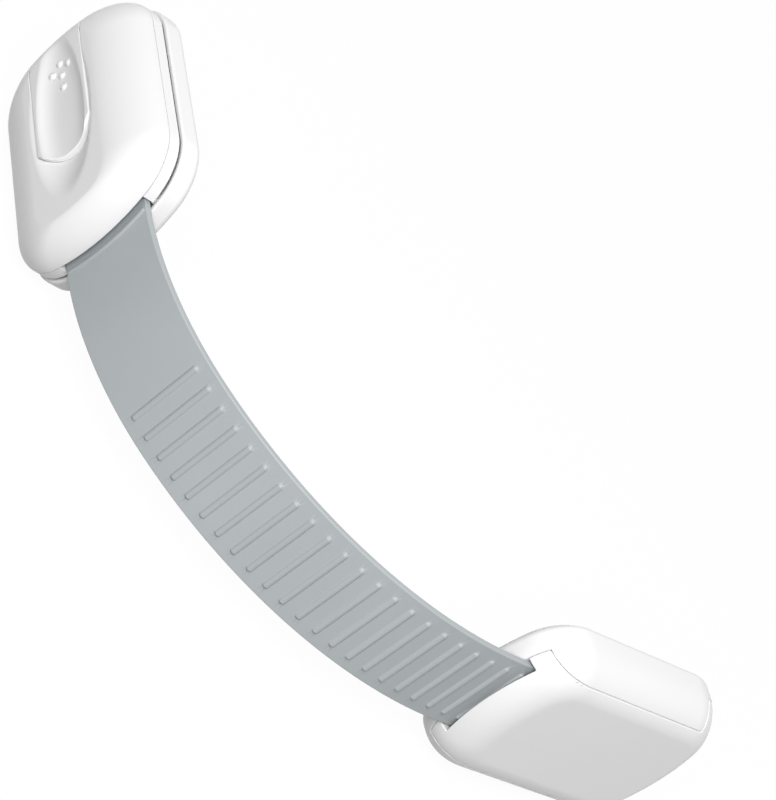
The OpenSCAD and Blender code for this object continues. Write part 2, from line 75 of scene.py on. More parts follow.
# How far cutters pass a face, joined blocks sink in, and faces that nearly meet keep apart.
play = {"past": 1.0, "clear": 2.0, "root": 0.4, "shy": 0.01, "hair": 0.001}
# Corners over angle degrees get rounded, after what is smaller than gap or flatter than flat is merged.
corners = {"angle": 38, "gap": 0.03, "flat": 0.15, "shadeWeight": 60}

strapOrigin = Vector((route["slotU"] - pad["adjusterLong"] / 2, -route["mid"], 0))
standUp = Matrix.Rotation(math.pi / 2, 4, "X")


def bendTurn(radius, angle):
    centre = Vector((0, radius, 0))
    turn = Matrix.Rotation(math.radians(-angle), 4, "Z")
    return Matrix.Translation(centre) @ turn @ Matrix.Translation(-centre)


tailTurn = bendTurn(route["tailR"], route["tailA"])
strapTurn = tailTurn @ bendTurn(route["headR"], route["headA"])
strapPlace = Matrix.Translation(strapOrigin)
headPlace = (
    strapPlace
    @ strapTurn
    @ Matrix.Translation((route["slotU"], route["mid"], 0))
    @ Matrix.Rotation(math.pi, 4, "Y")
    @ standUp
)
adjusterPlace = Matrix.Translation((-pad["adjusterLong"] / 2, 0, 0)) @ standUp


def vertsOf(geom):
    return [g for g in geom if isinstance(g, bmesh.types.BMVert)]


def faceOf(geom):
    return [g for g in geom if isinstance(g, bmesh.types.BMFace)][0]


def spinVert(bm, vert, x, y, degrees, steps):  # carries a vertex round an arc and leaves edges behind
    spun = bmesh.ops.spin(bm, geom=[vert], cent=(x, y, vert.co.z), axis=(0, 0, 1), dvec=(0, 0, 0),
                          angle=math.radians(degrees), steps=steps, use_duplicate=False)
    return vertsOf(spun["geom_last"])[0]


def spinFace(bm, face, centre, axis, degrees, steps):
    spun = bmesh.ops.spin(bm, geom=[face], cent=centre, axis=axis, dvec=(0, 0, 0),
                          angle=math.radians(degrees), steps=steps, use_duplicate=False)
    return faceOf(spun["geom_last"])


def raiseFace(bm, face, lift):
    grown = bmesh.ops.extrude_face_region(bm, geom=[face])["geom"]
    bmesh.ops.translate(bm, verts=vertsOf(grown), vec=lift)
    return faceOf(grown)


def dropInner(bm):  # removes the faces left inside a body that was drawn out in several steps
    inner = [f for f in bm.faces if all(len(e.link_faces) > 2 for e in f.edges)]
    bmesh.ops.delete(bm, geom=inner, context="FACES_ONLY")
    bmesh.ops.recalc_face_normals(bm, faces=bm.faces)


def padLoop(bm, z, length, side, near, far, corner):  # plan drawn in at its sides and ends
    y = pad["width"] / 2 - side - corner
    nearR, farR = pad["bowR"] - near - corner, pad["bowR"] - far - corner
    nearA, farA = math.degrees(math.asin(y / nearR)), math.degrees(math.asin(y / farR))
    nearX = pad["bowR"] - nearR * math.cos(math.radians(nearA))
    farX = length - pad["bowR"] + farR * math.cos(math.radians(farA))
    turns, bows = pad["cornerSteps"], pad["bowSteps"]
    first = bm.verts.new((farX, -y - corner, z))
    v = spinVert(bm, first, farX, -y, 90 - farA, turns)
    v = spinVert(bm, v, length - pad["bowR"], 0, 2 * farA, bows)
    v = spinVert(bm, v, farX, y, 90 - farA, turns)
    v = bmesh.ops.extrude_vert_indiv(bm, verts=[v])["verts"][0]
    v.co.x = nearX
    v = spinVert(bm, v, nearX, y, 90 - nearA, turns)
    v = spinVert(bm, v, pad["bowR"], 0, 2 * nearA, bows)
    v = spinVert(bm, v, nearX, -y, 90 - nearA, turns)
    bmesh.ops.contextual_create(bm, geom=[v, first])
    return [e for e in bm.edges if all(abs(v.co.z - z) < 1e-5 for v in e.verts)]


def insetPlan(length, inset):
    return length, inset, inset, inset, pad["cornerR"] - inset


def quarterTurn(steps):
    return [math.pi / 2 * i / steps for i in range(steps + 1)]


def lowLevels(length, grow=0.0):  # rounded edge beside the door
    radius = pad["backEdge"]
    levels = []
    for t in quarterTurn(pad["backSteps"]):
        plan = insetPlan(length, radius * (1 - math.sin(t)) - grow)
        levels.append((pad["tape"] + radius * (1 - math.cos(t)), plan))
    return levels


def topLevels(length, z, radius, steps, grow):  # rounded edge on the far side from the door
    levels = []
    for t in quarterTurn(steps):
        plan = insetPlan(length, radius * (1 - math.cos(t)) - grow)
        levels.append((z - radius * (1 - math.sin(t)), plan))
    return levels


def crownLevels(length, z, crown):  # front that falls away by different widths at its sides and ends
    levels = []
    for t in quarterTurn(crown["steps"]):
        k = 1 - max(0.0, math.cos(t)) ** crown["power"]
        corner = pad["cornerR"] + (crown["corner"] - pad["cornerR"]) * k
        plan = (length, crown["side"] * k, crown["near"] * k, crown["far"] * k, corner)
        levels.append((z - crown["high"] * (1 - math.sin(t) ** crown["power"]), plan))
    return levels


def loft(levels):  # one closed body through the plans at each level
    bm = bmesh.new()
    loops = [padLoop(bm, z, *plan) for z, plan in levels]
    for low, high in zip(loops, loops[1:]):
        bmesh.ops.bridge_loops(bm, edges=low + high)
    for rim in (loops[0], loops[-1]):
        bmesh.ops.edgeloop_fill(bm, edges=rim)
    bmesh.ops.recalc_face_normals(bm, faces=bm.faces)
    return bm


def padSlab(length, low, high, inset=0.0):
    plan = insetPlan(length, inset)
    return loft([(low, plan), (high, plan)])


def block(x0, x1, y0, y1, z0, z1):
    bm = bmesh.new()
    size = Matrix.Diagonal((x1 - x0, y1 - y0, z1 - z0, 1))
    at = Matrix.Translation(((x0 + x1) / 2, (y0 + y1) / 2, (z0 + z1) / 2))
    bmesh.ops.create_cube(bm, size=1, matrix=at @ size)
    return bm


def midBlock(x0, x1, width, z0, z1):
    return block(x0, x1, -width / 2, width / 2, z0, z1)


def crossRod(x, z, radius, length, y=0.0, segments=96):
    bm = bmesh.new()
    bmesh.ops.create_cone(bm, cap_ends=True, segments=segments, radius1=radius, radius2=radius,
                          depth=length, matrix=Matrix.Translation((x, y, z)) @ standUp)
    return bm


def asObject(name, bm):
    mesh = bpy.data.meshes.new(name)
    bm.to_mesh(mesh)
    bm.free()
    piece = bpy.data.objects.new(name, mesh)
    scene.collection.objects.link(piece)
    return piece


def settle(piece):  # applies the modifiers
    deps = bpy.context.evaluated_depsgraph_get()
    made = bpy.data.meshes.new_from_object(piece.evaluated_get(deps))
    old = piece.data
    piece.modifiers.clear()
    piece.data = made
    made.name = piece.name
    bpy.data.meshes.remove(old)


def carve(piece, cutter, how="DIFFERENCE"):
    tool = cutter if isinstance(cutter, bpy.types.Object) else asObject("cutter", cutter)
    mod = piece.modifiers.new("carve", "BOOLEAN")
    mod.object, mod.operation, mod.solver = tool, how, "EXACT"
    settle(piece)
    bpy.data.objects.remove(tool)
    return piece


def cleanCuts(piece, crispAt):  # merges what the cuts leave and marks the edges to soften
    gap, sharp = corners["gap"], math.radians(corners["angle"])
    bm = bmesh.new()
    bm.from_mesh(piece.data)
    bmesh.ops.remove_doubles(bm, verts=bm.verts, dist=gap)
    bmesh.ops.dissolve_degenerate(bm, edges=bm.edges, dist=gap)
    bmesh.ops.dissolve_limit(bm, angle_limit=math.radians(corners["flat"]), verts=bm.verts, edges=bm.edges)
    bmesh.ops.connect_verts_concave(bm, faces=bm.faces)  # a U-shaped face would fill wrongly
    bmesh.ops.delete(bm, geom=[e for e in bm.edges if e.is_wire], context="EDGES")
    mark = bm.edges.layers.float.new("bevel_weight_edge")
    for e in bm.edges:
        crisp = crispAt is not None and all(abs(v.co.z - crispAt) < gap for v in e.verts)
        if e.is_manifold and not crisp and e.calc_face_angle() > sharp:
            e[mark] = 1.0
    bm.to_mesh(piece.data)
    bm.free()


def finishPiece(piece, place, material, edge, edgeSteps=2, crispAt=None):  # edges at the level crispAt stay
    cleanCuts(piece, crispAt)
    soften = piece.modifiers.new("softEdges", "BEVEL")
    soften.width, soften.segments, soften.limit_method = edge, edgeSteps, "WEIGHT"
    soften.use_clamp_overlap, soften.loop_slide = False, False
    settle(piece)
    piece.data.transform(mm @ place)
    piece.data.polygons.foreach_set("use_smooth", [True] * len(piece.data.polygons))
    piece.data.set_sharp_from_angle(angle=math.radians(corners["angle"]))
    even = piece.modifiers.new("evenShade", "WEIGHTED_NORMAL")
    even.keep_sharp, even.weight = True, corners["shadeWeight"]
    settle(piece)
    piece.data.materials.clear()
    piece.data.materials.append(material)
    return piece


# Materials. Noises give scale, detail and roughness, and only the middle of their range is used.
skinLook = {
    "grain": (2600.0, 2.0, 0.6), "flow": (42.0, 2.0, 0.4), "smear": (260.0, 4.0, 0.55),
    "rough": (0.28, 0.4), "grainDeep": 0.00006, "noiseSpan": (0.3, 0.7),
}
steelLook = {
    "colour": (0.56, 0.57, 0.58, 1), "stretch": (900, 900, 12000), "lines": (1.0, 2.0, 0.5),
    "rough": (0.24, 0.4),
}


def nodeGroup(name, ins, outs):
    tree = bpy.data.node_groups.new(name, "ShaderNodeTree")
    for label, value in ins.items():
        socket = tree.interface.new_socket(name=label, in_out="INPUT", socket_type="NodeSocketFloat")
        socket.default_value = value
    for label in outs:
        tree.interface.new_socket(name=label, in_out="OUTPUT", socket_type="NodeSocketFloat")
    return tree, tree.nodes.new("NodeGroupInput"), tree.nodes.new("NodeGroupOutput")


def noiseNode(tree, coords, noise):
    node = tree.nodes.new("ShaderNodeTexNoise")
    for key, value in zip(("Scale", "Detail", "Roughness"), noise):
        node.inputs[key].default_value = value
    tree.links.new(coords, node.inputs["Vector"])
    return node


def mapNode(tree, value, low, high):  # spreads a noise between two numbers or sockets
    node = tree.nodes.new("ShaderNodeMapRange")
    node.inputs["From Min"].default_value, node.inputs["From Max"].default_value = skinLook["noiseSpan"]
    for key, end in (("To Min", low), ("To Max", high)):
        if isinstance(end, (int, float)):
            node.inputs[key].default_value = end
        else:
            tree.links.new(end, node.inputs[key])
    tree.links.new(value, node.inputs["Value"])
    return node.outputs["Result"]


def makeMouldSkin():  # spark grain, slow flow in the melt, and a roughness with smears
    lowRough, highRough = skinLook["rough"]
    defaults = {"Grain Scale": skinLook["grain"][0], "Low Rough": lowRough, "High Rough": highRough}
    tree, ins, outs = nodeGroup("mouldSkin", defaults, ("Height", "Flow", "Roughness"))
    where = tree.nodes.new("ShaderNodeTexCoord").outputs["Object"]
    grain = noiseNode(tree, where, skinLook["grain"])
    flow = noiseNode(tree, where, skinLook["flow"])
    smear = noiseNode(tree, where, skinLook["smear"])
    rough = mapNode(tree, smear.outputs["Fac"], ins.outputs["Low Rough"], ins.outputs["High Rough"])
    tree.links.new(ins.outputs["Grain Scale"], grain.inputs["Scale"])
    tree.links.new(grain.outputs["Fac"], outs.inputs["Height"])
    tree.links.new(mapNode(tree, flow.outputs["Fac"], 0.0, 1.0), outs.inputs["Flow"])
    tree.links.new(rough, outs.inputs["Roughness"])
    return tree


mouldSkin = makeMouldSkin()


def mouldedMaterial(name, look):
    material = bpy.data.materials.new(name)
    material.use_nodes = True
    tree = material.node_tree
    shader = tree.nodes["Principled BSDF"]
    skin = tree.nodes.new("ShaderNodeGroup")
    skin.node_tree = mouldSkin
    skin.inputs["Grain Scale"].default_value = look["grain"]
    skin.inputs["Low Rough"].default_value, skin.inputs["High Rough"].default_value = look["rough"]
    tint = tree.nodes.new("ShaderNodeMix")
    tint.data_type = "RGBA"
    tint.inputs["A"].default_value = (*look["colour"], 1)
    tint.inputs["B"].default_value = (*look["drift"], 1)
    bump = tree.nodes.new("ShaderNodeBump")
    bump.inputs["Strength"].default_value = look["bump"]
    bump.inputs["Distance"].default_value = skinLook["grainDeep"]
    tree.links.new(skin.outputs["Flow"], tint.inputs["Factor"])
    tree.links.new(tint.outputs["Result"], shader.inputs["Base Color"])
    tree.links.new(skin.outputs["Roughness"], shader.inputs["Roughness"])
    tree.links.new(skin.outputs["Height"], bump.inputs["Height"])
    tree.links.new(bump.outputs["Normal"], shader.inputs["Normal"])
    shader.inputs["Specular IOR Level"].default_value = look["specular"]
    return material


def steelMaterial():
    material = bpy.data.materials.new("springSteel")
    material.use_nodes = True
    tree = material.node_tree
    shader = tree.nodes["Principled BSDF"]
    where = tree.nodes.new("ShaderNodeTexCoord").outputs["Object"]
    pull = tree.nodes.new("ShaderNodeMapping")
    pull.inputs["Scale"].default_value = steelLook["stretch"]
    tree.links.new(where, pull.inputs["Vector"])
    lines = noiseNode(tree, pull.outputs["Vector"], steelLook["lines"])
    tree.links.new(mapNode(tree, lines.outputs["Fac"], *steelLook["rough"]), shader.inputs["Roughness"])
    shader.inputs["Base Color"].default_value = steelLook["colour"]
    shader.inputs["Metallic"].default_value = 1.0
    return material


whitePlastic = mouldedMaterial("whitePlastic", {
    "colour": (0.86, 0.856, 0.862), "drift": (0.851, 0.846, 0.854), "grain": 2400.0, "rough": (0.29, 0.34),
    "bump": 0.05, "specular": 0.5})
greyElastomer = mouldedMaterial("greyElastomer", {
    "colour": (0.4, 0.43, 0.442), "drift": (0.42, 0.45, 0.461), "grain": 1900.0, "rough": (0.44, 0.58),
    "bump": 0.2, "specular": 0.4})
foamTape = mouldedMaterial("foamTape", {
    "colour": (0.74, 0.74, 0.72), "drift": (0.67, 0.67, 0.65), "grain": 3600.0, "rough": (0.75, 0.92),
    "bump": 0.8, "specular": 0.2})
springSteel = steelMaterial()
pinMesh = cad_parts["hinge_pin"].data
pinMesh.materials.clear()
pinMesh.materials.append(springSteel)
print("materials ready")

# Release base with the catch post, and the foam under both pads. The post is near, far, width and top.
catch = {
    "wall": 3.0, "out": 0.6, "ledge": 5.65, "round": 0.45, "roundSteps": 5, "groove": 4.3, "lipWall": 0.4,
    "post": (27.0, 33.0, 10.0, 11.0), "lip": 2.0, "lipIn": 0.5, "lipLow": 9.6,
    "guide": 1.2, "guideAt": 11.325, "guideIn": 0.5, "guideTop": 5.88, "edge": 0.12,
}


def makeReleaseBase():
    long = pad["headLong"]
    back = lowLevels(long, catch["out"])
    front = topLevels(long, catch["ledge"], catch["round"], catch["roundSteps"], catch["out"])
    piece = asObject("releaseBase", loft(back + front))
    above = pad["baseTop"] + play["past"]
    carve(piece, padSlab(long, pad["floorTop"], above, catch["wall"]))
    carve(piece, padSlab(long, catch["groove"], above, catch["lipWall"]))
    root = pad["floorTop"] - play["root"]
    near, far, wide, top = catch["post"]
    carve(piece, midBlock(near, far, wide, root, top), "UNION")
    lip = midBlock(near + catch["lipIn"], far + catch["lip"], wide - 2 * play["hair"],
                   catch["lipLow"], top - play["hair"])
    carve(piece, lip, "UNION")
    ends = catch["wall"] - catch["guideIn"]
    for side in (-1, 1):
        y = side * catch["guideAt"]
        guide = block(ends, long - ends, y - catch["guide"] / 2, y + catch["guide"] / 2,
                      root, catch["guideTop"])
        carve(piece, guide, "UNION")
    return finishPiece(piece, headPlace, whitePlastic, catch["edge"])


def makeTape(name, place, long):
    piece = asObject(name, padSlab(long, 0.0, pad["tape"], pad["tapeInset"]))
    return finishPiece(piece, place, foamTape, catch["edge"])


releaseBase = makeReleaseBase()
releaseTape = makeTape("releaseTape", headPlace, pad["headLong"])
adjusterTape = makeTape("adjusterTape", adjusterPlace, pad["adjusterLong"])
print("release base and foam ready")

# Head: floor, cover and thumb button. The window is near, far and width, the block that clamps
# the spring near, far, width and top, and its slot near, far, width and bottom.
head = {
    "low": 6.2, "floorTop": 7.4, "rimTop": 8.6, "rimWide": 3.2, "coverLow": 8.78, "top": 15.8,
    "crown": {"side": 11.0, "near": 4.0, "far": 7.0, "high": 7.0, "corner": 6.0, "power": 1.2, "steps": 22},
    "cavityTop": 11.8, "wall": 2.6, "slotWide": 23.0, "slotFar": 4.4,
    "anchorWall": 4.2, "anchorFar": 9.5, "anchorLow": 7.0, "window": (26.7, 37.7, 10.6),
    "clamp": (44.2, 47.8, 9.4, 9.6), "clampSlot": (45.75, 46.25, 7.1, 7.45),
    "floorEdge": 0.12, "coverEdge": 0.22,
}
# A bowl's wall gets steeper with steep and runs out into the front over soft. The rail is near, far,
# bottom and top, the fin near, far, width and bottom.
thumb = {
    "at": 30.5,
    "dish": {"long": 41.0, "wide": 12.6, "deep": 1.8, "steep": 2.0, "soft": 0.5},
    "scoop": {"long": 43.0, "wide": 16.0, "deep": 4.0, "steep": 1.0, "soft": 0.8},
    "gridReach": (0.62, 0.65), "gridSteps": (160, 80), "gridHigh": 12.0, "rimLift": 0.02,
    "buttonWide": 14.7, "buttonLow": 8.9, "slit": 0.1, "noseAt": 29.3, "noseR": 9.3, "noseSteps": 192,
    "planLong": 70.0, "planPast": 4.0, "inside": 12.1, "endWall": 2.6,
    "dot": 1.6, "dotHigh": 0.5, "dotTip": 44.7, "dotStep": 3.2, "dotSide": 2.35, "dotSteps": (28, 18),
    "dots": ((0, 0), (-0.5, 1), (-0.5, -1), (-1, 0), (-2, 0)),
    "rail": (30.8, 46.8, 10.3, 11.5), "railOut": 8.75, "railWide": 1.4, "fin": (35.8, 36.8, 6.0, 9.8),
    "edge": 0.25,
}


def bowlRise(x, y, bowl):  # height over the lowest point of a bowl
    along, across = 2 * (x - thumb["at"]) / bowl["long"], 2 * y / bowl["wide"]
    return bowl["deep"] * (along ** 2 + across ** 2) ** bowl["steep"]


def crownFall(x):  # drop of the head's front towards its far end
    crown = head["crown"]
    back = min(1.0, max(0.0, (x - pad["headLong"] + crown["far"]) / crown["far"]))
    return crown["high"] * (1 - (1 - back ** (2 / crown["power"])) ** (crown["power"] / 2))


def thumbDish(bowl):
    deep, blend = bowl["deep"], bowl["soft"]
    reachX, reachY = thumb["gridReach"]
    stepsX, stepsY = thumb["gridSteps"]
    size = Matrix.Diagonal((reachX * bowl["long"], reachY * bowl["wide"], 1, 1))
    bm = bmesh.new()
    bmesh.ops.create_grid(bm, x_segments=stepsX, y_segments=stepsY, size=1,
                          matrix=Matrix.Translation((thumb["at"], 0, head["top"] - deep)) @ size)
    for v in bm.verts:
        rise = bowlRise(v.co.x, v.co.y, bowl)
        front = deep - crownFall(v.co.x) + thumb["rimLift"] * (rise / deep - 1)
        meet = max(0.0, blend - abs(rise - front)) / blend
        v.co.z += min(rise, front) - meet ** 2 * blend / 4  # smooth minimum of bowl and front
    grown = bmesh.ops.extrude_face_region(bm, geom=bm.faces[:], use_keep_orig=True)["geom"]
    bmesh.ops.translate(bm, verts=vertsOf(grown), vec=(0, 0, thumb["gridHigh"]))
    bmesh.ops.recalc_face_normals(bm, faces=bm.faces)
    return bm


def buttonPlan(grow, low, high):  # round-nosed tongue that runs out of the far end
    wide, nose = thumb["buttonWide"] + 2 * grow, thumb["noseR"] + grow
    at = Matrix.Translation((thumb["noseAt"], 0, (low + high) / 2))
    bm = bmesh.new()
    bmesh.ops.create_cone(bm, cap_ends=True, segments=thumb["noseSteps"], radius1=nose, radius2=nose,
                          depth=high - low, matrix=at)
    plan = asObject("plan", bm)
    past = play["past"]
    carve(plan, midBlock(0, thumb["planLong"], wide, low - past, high + past), "INTERSECT")
    far = pad["headLong"] + thumb["planPast"]
    carve(plan, midBlock(thumb["noseAt"] + past, far, wide, low, high), "UNION")
    return plan


def headShell(low):
    long = pad["headLong"]
    return loft([(low, insetPlan(long, 0))] + crownLevels(long, head["top"], head["crown"]))


def makeHeadFloor():
    long = pad["headLong"]
    below, above = head["low"] - play["past"], head["rimTop"] + play["past"]
    piece = asObject("headFloor", padSlab(long, head["low"], head["rimTop"]))
    carve(piece, padSlab(long, head["floorTop"], above, head["rimWide"]))
    carve(piece, midBlock(-play["clear"], head["slotFar"], head["slotWide"], below, above))
    carve(piece, midBlock(head["anchorWall"], head["anchorFar"], head["slotWide"] - 2 * play["hair"],
                          head["anchorLow"], above))
    carve(piece, midBlock(*head["window"], below, above))
    near, far, wide, top = head["clamp"]
    clamp = asObject("clamp", midBlock(near, far, wide, head["floorTop"] - play["root"], top))
    near, far, wide, low = head["clampSlot"]
    carve(clamp, midBlock(near, far, wide, low, top + play["past"]))
    carve(piece, clamp, "UNION")
    return finishPiece(piece, headPlace, whitePlastic, head["floorEdge"], crispAt=head["rimTop"])


def makeHeadCover():
    below = head["rimTop"] - play["past"]
    piece = asObject("headCover", headShell(head["coverLow"]))
    hollow = padSlab(pad["headLong"], below, head["cavityTop"], head["wall"])
    bmesh.ops.bisect_plane(hollow, geom=hollow.verts[:] + hollow.edges[:] + hollow.faces[:], dist=1e-5,
                           plane_co=(head["anchorWall"], 0, 0), plane_no=(1, 0, 0), clear_inner=True)
    bmesh.ops.holes_fill(hollow, edges=[e for e in hollow.edges if e.is_boundary])
    bmesh.ops.recalc_face_normals(hollow, faces=hollow.faces)
    carve(piece, hollow)
    carve(piece, thumbDish(thumb["scoop"]))
    carve(piece, buttonPlan(thumb["slit"], below, head["top"] + play["clear"]))
    return finishPiece(piece, headPlace, whitePlastic, head["coverEdge"], edgeSteps=3,
                       crispAt=head["coverLow"])


def addDots(piece):
    dish, high = thumb["dish"], thumb["dotHigh"]
    stepsU, stepsV = thumb["dotSteps"]
    ball = ((thumb["dot"] / 2) ** 2 + high ** 2) / (2 * high)
    dots = bmesh.new()
    for along, across in thumb["dots"]:
        x, y = thumb["dotTip"] + along * thumb["dotStep"], across * thumb["dotSide"]
        z = head["top"] - dish["deep"] + bowlRise(x, y, dish) + high - ball
        bmesh.ops.create_uvsphere(dots, u_segments=stepsU, v_segments=stepsV, radius=ball,
                                  matrix=Matrix.Translation((x, y, z)))
    carve(piece, dots, "UNION")


def makeButton():
    piece = asObject("releaseButton", headShell(head["rimTop"]))
    carve(piece, buttonPlan(0.0, thumb["buttonLow"], head["top"] + play["clear"]), "INTERSECT")
    carve(piece, midBlock(0, pad["headLong"] - thumb["endWall"], pad["width"], 0, thumb["inside"]))
    carve(piece, thumbDish(thumb["dish"]))
    addDots(piece)
    shy, roof = play["shy"], thumb["inside"] + play["root"]
    near, far, low, high = thumb["rail"]
    edge = thumb["buttonWide"] / 2
    for side in (-1, 1):
        web = sorted((side * (edge - thumb["railWide"]), side * (edge - shy)))
        lip = sorted((side * (edge - thumb["railWide"]), side * thumb["railOut"]))
        carve(piece, block(near, far, *web, low, roof), "UNION")
        carve(piece, block(near + shy, far - shy, *lip, low + shy, high), "UNION")
    near, far, wide, low = thumb["fin"]
    carve(piece, midBlock(near, far, wide, low, roof), "UNION")
    return finishPiece(piece, headPlace, whitePlastic, thumb["edge"], edgeSteps=3)


headFloor = makeHeadFloor()
headCover = makeHeadCover()
releaseButton = makeButton()
print("head ready")

# Latch spring: a bent strip held in the floor's block, with its hook under the catch.
leaf = {
    "foot": 45.8, "low": 7.5, "thick": 0.4, "wide": 7.0, "bend": 0.55, "top": 10.9, "leg": 37.0,
    "tip": 33.6, "steps": 10, "edge": 0.05,
}


def makeSpring():
    outer = leaf["bend"] + leaf["thick"]
    turnZ = leaf["top"] - outer
    at = Matrix.Translation((leaf["foot"] + leaf["thick"] / 2, 0, leaf["low"]))
    bm = bmesh.new()
    bmesh.ops.create_grid(bm, x_segments=1, y_segments=1, size=0.5,
                          matrix=at @ Matrix.Diagonal((leaf["thick"], leaf["wide"], 1, 1)))
    end = raiseFace(bm, bm.faces[:][0], (0, 0, turnZ - leaf["low"]))
    footX, legX, hookX = leaf["foot"] - leaf["bend"], leaf["leg"] + outer, leaf["leg"] - leaf["bend"]
    for x, degrees, run in ((footX, -90, footX - legX), (legX, -90, 0.0), (hookX, 90, hookX - leaf["tip"])):
        end = spinFace(bm, end, (x, 0, turnZ), (0, 1, 0), degrees, leaf["steps"])
        if run:
            end = raiseFace(bm, end, (-run, 0, 0))
    dropInner(bm)
    return finishPiece(asObject("latchSpring", bm), headPlace, springSteel, leaf["edge"])


latchSpring = makeSpring()
print("spring ready")

# Adjuster: base with cheeks, and the lid hinged at the far end. A side guide is near, far and top.
adjuster = {
    "top": 12.8,
    "shoulder": {
        "side": 8.5, "near": 9.0, "far": 5.0, "high": 9.0, "corner": 5.0, "power": 1.0, "steps": 26,
    },
    "lidWide": 31.0, "seam": 0.08, "seamAt": 6.1, "seamStep": 0.1, "cheekEnd": 49.3,
    "roof": 1.8, "lidWall": 1.7, "lidNose": 7.5, "slotHigh": 2.4, "slotWide": 23.0, "strapLow": 6.2,
    "hinge": (54.9, 6.6), "hingeFloor": 4.6, "barrel": 3.15, "barrelLong": 40.0, "trough": 3.4,
    "knuckle": 1.9, "knuckleWide": 4.0, "knuckleAt": 6.2, "knuckleGap": 0.25, "knuckleRoom": 0.3,
    "neck": 2.4, "notchTop": 7.1, "pin": 0.8, "pinFit": 0.02, "pinSteps": 48,
    "trayNear": 2.6, "trayFar": 47.3, "trayInset": 2.55,
    "guide": 1.2, "guidesAt": (-7.92, 0, 7.92), "guideTop": 6.1, "guideIn": 0.2,
    "sideGuide": (8.5, 43.0, 7.4),
    "bars": (13.925, 18.185, 22.445, 26.705), "bar": 1.5, "barWide": 18.3, "barLow": 7.8,
    "edge": 0.22,
}


def adjusterShell():
    long = pad["adjusterLong"]
    return loft(lowLevels(long) + crownLevels(long, adjuster["top"], adjuster["shoulder"]))


def lidZone(grow):  # the room that the lid takes up in the shell
    clear, step = play["clear"], adjuster["seamStep"]
    low, high = adjuster["seamAt"] - grow, adjuster["top"] + clear
    far = pad["adjusterLong"] + clear
    zone = asObject("zone", midBlock(-clear, far, adjuster["lidWide"] + 2 * grow, low, high))
    end = midBlock(adjuster["cheekEnd"] - grow, far - step, pad["width"] + clear, low, high - step)
    return carve(zone, end, "UNION")


def makeKnuckle(y):
    a = adjuster
    x, z = a["hinge"]
    half, root = a["knuckleWide"] / 2 - play["hair"], pad["floorTop"] - play["root"]
    piece = asObject("knuckle", crossRod(x, z, a["knuckle"], a["knuckleWide"], y))
    neck = block(x - a["neck"] / 2, x + a["neck"] / 2, y - half, y + half, root, z)
    carve(piece, neck, "UNION")
    bore = crossRod(x, z, a["pin"] + a["pinFit"], a["knuckleWide"] + play["past"], y, a["pinSteps"])
    return carve(piece, bore)


def makeAdjusterBase():
    a = adjuster
    hingeX, hingeZ = a["hinge"]
    long, past = pad["adjusterLong"], play["past"]
    root, half = pad["floorTop"] - play["root"], a["guide"] / 2
    piece = asObject("adjusterBase", adjusterShell())
    carve(piece, lidZone(a["seam"]))
    inner = a["lidWide"] - 2 * a["lidWall"]
    tray = asObject("tray", midBlock(a["trayNear"], a["trayFar"], inner, pad["floorTop"], a["top"]))
    carve(tray, padSlab(long, pad["floorTop"] - past, a["top"] + past, a["trayInset"]), "INTERSECT")
    carve(piece, tray)
    carve(piece, crossRod(hingeX, hingeZ, a["trough"], pad["width"] + past))
    carve(piece, midBlock(hingeX, long + past, pad["width"] + past, a["hingeFloor"], a["top"]))
    for y in a["guidesAt"]:
        guide = block(a["trayNear"] - a["guideIn"], a["trayFar"] + a["guideIn"], y - half, y + half,
                      root, a["guideTop"])
        carve(piece, guide, "UNION")
    near, far, top = a["sideGuide"]
    for side in (-1, 1):
        y = side * (a["slotWide"] / 2 + half)
        carve(piece, block(near, far, y - half, y + half, root, top), "UNION")
        carve(piece, makeKnuckle(side * a["knuckleAt"]), "UNION")
    return finishPiece(piece, adjusterPlace, whitePlastic, a["edge"], edgeSteps=3)


def makeLid():
    a = adjuster
    hingeX, hingeZ = a["hinge"]
    roofLow = a["top"] - a["roof"]
    zone = lidZone(-a["seam"])
    carve(zone, crossRod(hingeX, hingeZ, a["barrel"], a["barrelLong"]), "UNION")
    piece = asObject("adjusterLid", adjusterShell())
    carve(piece, zone, "INTERSECT")
    carve(piece, midBlock(a["lidNose"], a["trayFar"], a["lidWide"] - 2 * a["lidWall"], 0, roofLow))
    carve(piece, midBlock(-play["clear"], a["lidNose"] + play["past"], a["slotWide"], 0,
                          a["strapLow"] + a["slotHigh"]))
    room = a["knuckleWide"] + 2 * a["knuckleGap"]
    for side in (-1, 1):
        y = side * a["knuckleAt"]
        carve(piece, crossRod(hingeX, hingeZ, a["knuckle"] + a["knuckleRoom"], room, y))
        carve(piece, block(a["cheekEnd"], pad["adjusterLong"] + play["clear"], y - room / 2, y + room / 2,
                           0, a["notchTop"]))
    half, root = a["bar"] / 2, roofLow + play["root"]
    for x in a["bars"]:
        carve(piece, midBlock(x - half, x + half, a["barWide"], a["barLow"], root), "UNION")
    return finishPiece(piece, adjusterPlace, whitePlastic, a["edge"], edgeSteps=3)


adjusterBase = makeAdjusterBase()
adjusterLid = makeLid()
print("adjuster ready")

